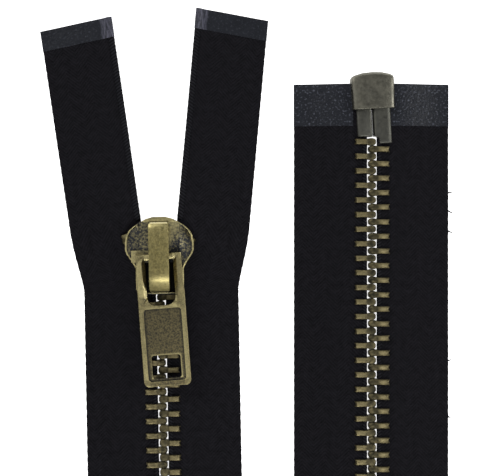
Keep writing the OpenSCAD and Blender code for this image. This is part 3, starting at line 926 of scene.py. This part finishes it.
for word, (s, length) in STOPS.items():
    side = SIDES[word]
    low, high = (STOP_IN, -STOP_HALF_W, -STOP_HALF_T), (length, STOP_HALF_W, STOP_HALF_T)
    piece = start_block(f"{word}_top_stop_folded", low, high)
    slice_at(piece, 0, [0.4, length - 1.1, length - 0.35])
    slice_at(piece, 1, [0])
    resize(piece, lambda co: near(co.x, STOP_IN), (1, 0.8, 0.7))
    resize(piece, lambda co: near(co.x, length), (1, 0.78, 0.5))
    resize(piece, lambda co: near(co.x, length - 0.35), (1, 0.94, 0.86))
    move(piece, lambda co: near(co.x, length) and near(co.y, 0), (-0.3, 0, 0))
    soften(piece, 0.22, 2, 30)
    put(piece, on_inner_edge(side, s))
    if side == LEFT:
        piece.data.flip_normals()
    finish_piece(piece, stop_material, "antique_brass", f"{word}_top_stop")
    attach(piece, f"{word}_stringer_top")


# ---- Pins ----
# Brass strip folded round the last stretch of each tape. The longer one is the insertion pin,
# and a notch in its end takes the first head; the shorter one is fixed in the box.
PIN_IN, PIN_TOP, PIN_HALF_T = 0.22, 99, 1.55
INSERTION_OUT, RETAINING_OUT = 4.5, 4.0
ASKEW = math.radians(3)
ASKEW_CENTRE = Vector((0.31, 91, 0))

# Rolled brass under a gunmetal finish: grey and even, with little wear.
pin_material = antique_brass("folded_brass_pin", "#373736", "#4c4c49", "#55554e", 0.46, 0.06, 500)


def at_box(side):
    """The frame of the bottom end, with x out from the chain's middle and y up the table. The
    pins and the box sit a little askew on the tapes."""
    askew = Matrix.Translation(ASKEW_CENTRE) @ Matrix.Rotation(ASKEW, 4, "Z")
    askew = askew @ Matrix.Translation(-ASKEW_CENTRE)
    return Matrix.Translation((BOX_X, 0, BOX_Z)) @ askew @ Matrix.Diagonal((side, 1, 1, 1))


def folded_pin(name, low, outer):
    """A pin from its lower end up into the box, a little barrelled across."""
    made = start_block(name, (PIN_IN, low, -PIN_HALF_T), (outer, PIN_TOP, PIN_HALF_T))
    slice_at(made, 0, [0.6, 1.5, outer - 1.1, outer - 0.4])
    for place, share in ((PIN_IN, 0.8), (0.6, 0.94), (outer - 0.4, 0.93), (outer, 0.74)):
        resize(made, lambda co, p=place: near(co.x, p), (1, 1, share))
    move(made, lambda co: near(co.x, PIN_IN) and co.z < 0, (-0.2, 0, 0))
    slice_at(made, 1, [low + 0.5])
    resize(made, lambda co: near(co.y, low), (0.985, 1, 0.93), ((outer + PIN_IN) / 2, low, 0))
    return made


piece = folded_pin("insertion_pin_folded", PIN_LOW[LEFT], INSERTION_OUT)
cutter = start_block("notch", (-1, 80, -3), (1.35, 84.3, 3))
slice_at(cutter, 0, [0.6])
move(cutter, lambda co: near(co.x, 1.35) and co.y > 84, (0, -0.55, 0))
cut(piece, cutter)
soften(piece, 0.14, 2, 30)
put(piece, at_box(1))
finish_piece(piece, pin_material, "dark_brass", "insertion_pin")
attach(piece, "chain")

piece = folded_pin("retaining_pin_folded", PIN_LOW[RIGHT], RETAINING_OUT)
soften(piece, 0.14, 2, 30)
put(piece, at_box(-1))
piece.data.flip_normals()
finish_piece(piece, pin_material, "dark_brass", "retaining_pin")
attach(piece, "chain")


# ---- Retainer box ----
# A drawn brass box, 10.9 mm wide, open at its mouth and slit at both sides for the tapes. Its
# end is crowned, and the mouth has a bare lip.
BOX_TOP, BOX_LOW = 100.3, 91.15
BOX_HALF, BOX_HALF_T = 5.45, 2.6
BOX_SHOULDER = BOX_TOP - 0.7
BOX_SHIFT = 0.38
# For each place across: how far the end drops there, and its share of the thickness.
BOX_CROWN = {
    0: (0, 1), 2.4: (-0.14, 1), 4.4: (-0.65, 0.97), 5.15: (-1.0, 0.84), BOX_HALF: (-1.45, 0.5)
}

# Drawn brass under the pins' gunmetal finish, lighter where hands and bags have rubbed it.
box_material = antique_brass("drawn_brass_box", "#54534c", "#6b695f", "#6d6b60", 0.42, 0.06, 450)
piece = start_block(
    "retainer_box_drawn", (-BOX_HALF, BOX_LOW, -BOX_HALF_T), (BOX_HALF, BOX_TOP, BOX_HALF_T)
)
slice_at(piece, 0, [-5.15, -4.4, -2.4, 0, 2.4, 4.4, 5.15])
slice_at(piece, 1, [BOX_LOW + 0.75, BOX_LOW + 1.1, BOX_TOP - 2.4, BOX_SHOULDER])
resize(piece, lambda co: near(co.y, BOX_TOP), (1, 1, 0.66))
resize(piece, lambda co: near(co.y, BOX_SHOULDER), (1, 1, 0.93))
for place, (drop, height) in BOX_CROWN.items():
    for y, share in ((BOX_SHOULDER, 0.75), (BOX_TOP, 1)):
        move(
            piece, lambda co, x=place, y=y: near(abs(co.x), x) and near(co.y, y),
            (0, drop * share, 0)
        )
    resize(piece, lambda co, p=place: near(abs(co.x), p), (1, 1, height))
resize(piece, lambda co: co.y < BOX_LOW + 1.2, (0.965, 1, 1.02), (0, BOX_LOW, 0))
cut(piece, start_block("cavity", (-4.62, BOX_LOW - 1, -1.66), (4.62, BOX_TOP - 1.3, 1.66)))
cut(piece, start_block("slit", (-7, BOX_LOW - 1, -0.5), (7, TAPE_END_Y + 0.6, 0.5)))
soften(piece, 0.22, 2, 30)
put(piece, at_box(1))
piece.data.transform(Matrix.Translation((BOX_SHIFT * MM, 0, 0)))
finish_piece(piece, box_material, "dark_brass", "retainer_box")
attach(piece, "chain")


# ---- Slider body ----
# One zinc casting, plated as antique brass: two plates held apart by the divider, with flanges
# at both sides. The top plate has a raised rim, and a sunk pocket in each shoulder.
SLIDER_LOW, SLIDER_HIGH = -9.6, 9.65
SHOULDER = 8.5
PLATE_T, TOP_PLATE, FIELD, RIM = 1.2, 4.9, 5.55, 6.1
FLANGE_GAP = (2.45, 3.65)
# Half the width of the plates at each place along the slider.
OUTLINE = {
    9.65: 1.6, 9.2: 3.2, 8.35: 4.8, 7.4: 6.3, 6.3: 7.5, 5: 8.2, 3.4: SHOULDER, 1.4: SHOULDER,
    0.4: 8.1, -1.4: 6.85, -3.1: 5.95, -8.3: 5.9, -9.2: 5.3, -9.6: 4.5
}
slider_frame = Matrix.Translation(SLIDER) @ Matrix.Rotation(LEAN, 4, "Z")

# A cast skin, grainy and blackened in its pockets, with pale brass on the rim.
slider_material = antique_brass(
    "cast_antique_brass", "#303237", "#5f573f", "#aca275", 0.48, 0.045, 900, 1700
)


def plate(name, low, high, inset=0):
    """A plate with broad shoulders and a narrow waist."""
    half_width, bottom, top = SHOULDER - inset, SLIDER_LOW + inset, SLIDER_HIGH - inset
    made = start_block(name, (-half_width, bottom, low), (half_width, top, high))
    rows = {max(bottom, min(top, y)): half - inset for y, half in OUTLINE.items()}
    slice_at(made, 1, [y for y in rows if bottom < y < top])
    for y, half in rows.items():
        resize(made, lambda co, p=y: near(co.y, p), (half / half_width, 1, 1))
    return made


casting = plate("slider_casting", TOP_PLATE, RIM)
field = plate("field", FIELD, RIM + 1, 0.38)
cut(field, start_block("plateau", (-5, -12, FIELD - 1), (5, 12, RIM + 2)))
cut(casting, field)
cut(casting, start_block("plateau_top", (-5.02, -9.1, RIM - 0.32), (5.02, 8.6, RIM + 1)))
cut(casting, start_block("lower_floor", (-5.02, -9.1, TOP_PLATE + 0.3), (5.02, -1.7, RIM + 1)))
weld(casting, start_block("ledge", (-7, -1.6, FIELD), (-2.4, 1.35, RIM + 0.1)))
soften(casting, 0.14, 2, 30)


def casting_share(co):
    """Black patina is left in the pockets. The middle band is darker on its left half than its
    right, and 2, round the lower end beside and below the crown, is a painted shadow.
    """
    # Beside and below the crown, under the pull: painted shadow, near black.
    if abs(co.x) < 5.2 and co.y < -1.65:
        return 2
    if co.z < FIELD + 0.1:
        return 1
    return 0 if abs(co.x) > 5.1 or co.y > 8.5 else 0.9 if co.x < 0 else 0.4


store_patina_and_shade(casting, casting_share)

lower_plate = plate("lower_plate", 0, PLATE_T)
soften(lower_plate, 0.25, 3, 30)

flanges = []
for side in (LEFT, RIGHT):
    for low, high in ((PLATE_T - 0.1, FLANGE_GAP[0]), (FLANGE_GAP[1], TOP_PLATE + 0.1)):
        flange = plate("flange", low, high, 0.02)
        inside = start_block("inside", (-20, -12, low - 1), (4.7, 12, high + 1))
        slice_at(inside, 1, [-6.5, -3.1, -1, 1.7])
        for y, x in ((-3.1, 5.35), (-1, 5.95), (1.7, 6.75), (12, 7.5)):
            move(inside, lambda co, p=y: near(co.y, p) and co.x > 0, (x - 4.7, 0, 0))
        above = start_block("above", (-20, 1.7, low - 1), (20, 14, high + 1))
        if side == LEFT:
            inside.data.transform(Matrix.Diagonal((-1, 1, 1, 1)))
            inside.data.flip_normals()
        cut(flange, inside)
        cut(flange, above)
        soften(flange, 0.1, 1, 30)
        flanges.append(flange)

divider = start_block("divider", (-0.3, 1.7, PLATE_T - 0.1), (0.3, 9.4, TOP_PLATE + 0.1))
slice_at(divider, 1, [8.5])
resize(divider, lambda co: near(co.y, 8.5), (7, 1, 1))
resize(divider, lambda co: near(co.y, 9.4), (4.5, 1, 1))
soften(divider, 0.2, 2, 30)

join(casting, [lower_plate, divider, *flanges])
put(casting, slider_frame)
finish_piece(casting, slider_material, "slider_brass", "slider_body")
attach(casting, "slider")


# ---- Lock pin ----
# A strip of spring steel under the crown, bent down to a small tooth that drops into the chain.
# The CAD solid has its true shape; here its edges are broken and it gets its finish.

# Steel that was blued and has worn back to grey, with the fine lines of its rolling.
pin_steel, tree, shader = new_material("blued_spring_steel")
place = add(tree, "ShaderNodeTexCoord").outputs["Object"]
stretched = add(tree, "ShaderNodeMapping", {"Vector": place, "Scale": (6000, 300, 6000)})
drawn = add(tree, "ShaderNodeTexNoise", {"Vector": stretched.outputs[0], "Scale": 1, "Detail": 2})
colour = add(
    tree, "ShaderNodeMix",
    {0: drawn.outputs[0], 6: linear("#6a6964"), 7: linear("#96948c")}, data_type="RGBA"
)
tree.links.new(colour.outputs[2], shader.inputs["Base Color"])
shader.inputs["Metallic"].default_value = 1
shader.inputs["Roughness"].default_value = 0.34
lock_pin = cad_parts["lock_pin"]
lock_pin.data.materials.clear()
lock_pin.data.materials.append(pin_steel)
bevel = lock_pin.modifiers.new("broken_edges", "BEVEL")
bevel.width = 0.06 * MM
bevel.segments = 2
bevel.angle_limit = math.radians(40)


# ---- Crown ----
# A pressed cap that stands over the lock pin. Its ends curve down to the plate, and a window
# at each side lets the pull's crossbar through.
CROWN_W, CROWN_LOW, CROWN_HIGH, CROWN_TOP = 4.95, -9.05, 8.3, 9.9
BAR_Y, BAR_Z = -0.3, 7.05
# How far the top is below its highest line at each place along the crown.
CROWN_DROP = {
    CROWN_LOW: 2.7, -8.75: 1.7, -7.9: 1.1, -6.4: 0.33, -5.8: 0.16, -5.1: 0.04, -4.3: 0,
    6.4: 0, 7.3: 0.12, 7.9: 0.4, CROWN_HIGH: 1.1
}

# Pressed sheet, smoother than the casting, and the brightest brass, since hands reach it first.
crown_material = antique_brass(
    "pressed_antique_brass", "#48442b", "#867b4d", "#b0a573", 0.38, 0.05, 900, 1300
)
crown = start_block(
    "slider_crown_pressed", (-CROWN_W / 2, CROWN_LOW, FIELD), (CROWN_W / 2, CROWN_HIGH, CROWN_TOP)
)
slice_at(crown, 1, [y for y in CROWN_DROP if CROWN_LOW < y < CROWN_HIGH] + [-2, 2])
for y, drop in CROWN_DROP.items():
    move(crown, lambda co, p=y: near(co.y, p) and near(co.z, CROWN_TOP), (0, 0, -drop))
slice_at(crown, 0, [-1.3, 1.3])
move(crown, lambda co: abs(co.x) > 2 and co.z > 6.5, (0, 0, -0.2))
resize(crown, lambda co: near(co.y, CROWN_LOW) or near(co.y, CROWN_HIGH), (0.82, 1, 1))
resize(crown, lambda co: near(co.y, -8.75) or near(co.y, 7.9), (0.96, 1, 1))
cut(crown, start_block("hollow", (-1.85, -8.5, FIELD - 1), (1.85, 7.6, 8)))
cut(crown, start_block("room_for_the_lifted_pin", (-1.9, -6.9, 7), (1.9, 7.2, 9)))
cut(crown, start_block("window", (-4, BAR_Y - 1.6, FIELD - 1), (4, BAR_Y + 1.6, 8.4)))
soften(crown, 0.24, 3, 30)
put(crown, slider_frame)
finish_piece(crown, crown_material, "slider_brass", "slider_crown")
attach(crown, "slider")


# ---- Pull tab ----
# A cast plate with a sunk panel and a window, on two arms that meet in a round crossbar under
# the crown. The rim has been handled until the brass shows.
PULL_L, PULL_HALF, PULL_T = 31.85, 5.8, 1.8
ARM_IN = 3.5
PANEL_DEPTH = 0.45
PULL_TURN = math.radians(3.3)

# The slider's brass, grainy in the sunk panel and polished by fingers on the rim.
pull_material = antique_brass(
    "handled_antique_brass", "#34332f", "#7b7150", "#b5aa7b", 0.38, 0.05, 1300, 2300
)
pull = start_block(
    "pull_tab_cast", (-PULL_HALF, -PULL_L, -PULL_T / 2), (PULL_HALF, 0.8, PULL_T / 2)
)
slice_at(pull, 0, [-4.5, 4.5])
slice_at(pull, 1, [0, -1.1, -7.2, -8.4, -9.72, -11.5, -20, 0.4 - PULL_L, 1.2 - PULL_L])
resize(pull, lambda co: co.y > -7.3, (5.6 / PULL_HALF, 1, 1))
resize(pull, lambda co: near(co.y, 0.4 - PULL_L), (0.95, 1, 1))
resize(pull, lambda co: near(co.y, -PULL_L), (0.84, 1, 1))


def rounded_cutter(name, low, high, radius, segments=5):
    """A cutter with round upright edges."""
    made = start_block(name, low, high)
    choose(made)
    bpy.ops.object.mode_set(mode="EDIT")
    bpy.ops.mesh.select_mode(type="EDGE")
    bpy.ops.mesh.select_all(action="DESELECT")
    bpy.ops.object.mode_set(mode="OBJECT")
    for edge in made.data.edges:
        ends = [made.data.vertices[i].co for i in edge.vertices]
        edge.select = near(ends[0].x, ends[1].x) and near(ends[0].y, ends[1].y)
    bpy.ops.object.mode_set(mode="EDIT")
    bpy.ops.mesh.bevel(offset=radius, segments=segments)
    bpy.ops.object.mode_set(mode="OBJECT")
    return made


cut(pull, rounded_cutter("arm_window", (-ARM_IN, -11.95, -4), (ARM_IN, 2, 4), 2.2, 6))
move(pull, lambda co: co.z > 0.5 and 3.4 < abs(co.x) < 3.6 and -9.9 < co.y < -1.1, (0, 0, -0.5))
modify(pull, "BEVEL", width=0.42, segments=3, limit_method="ANGLE", angle_limit=math.radians(50))
for low, high in ((PULL_T / 2 - PANEL_DEPTH, 3), (-3, PANEL_DEPTH - PULL_T / 2)):
    cut(pull, rounded_cutter("panel", (-4.65, -30.6, low), (4.65, -12.7, high), 0.8, 4))
cut(pull, rounded_cutter("window", (-3.6, -30, -4), (3.6, -24.2, 4), 0.7, 3))
slice_at(pull, 0, [-3.95, 3.95])
slice_at(pull, 1, [-13.4, -18, -23.7, -29.95, -30.9])
soften(pull, 0.2, 2, 30)


def panel_share(co):
    """Black is left in the panel, most along its edge."""
    if abs(co.z) > PULL_T / 2 - 0.3 or co.y > -12.8 or abs(co.x) > 4.7:
        return 0
    return 0 if abs(co.x) < 4 and -30 < co.y < -13.3 else 1


store_patina_and_shade(pull, panel_share)

bar = start_block("bar", (-ARM_IN - 0.4, -0.78, -0.9), (ARM_IN + 0.4, 0.78, 0.9))
soften(bar, 0.42, 3, 30)
join(pull, [bar])
hung = Matrix.Translation((-0.2, BAR_Y, BAR_Z)) @ Matrix.Rotation(PULL_TURN, 4, "Z")
put(pull, slider_frame @ hung)
finish_piece(pull, pull_material, "slider_brass", "pull_tab")
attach(pull, "pull")
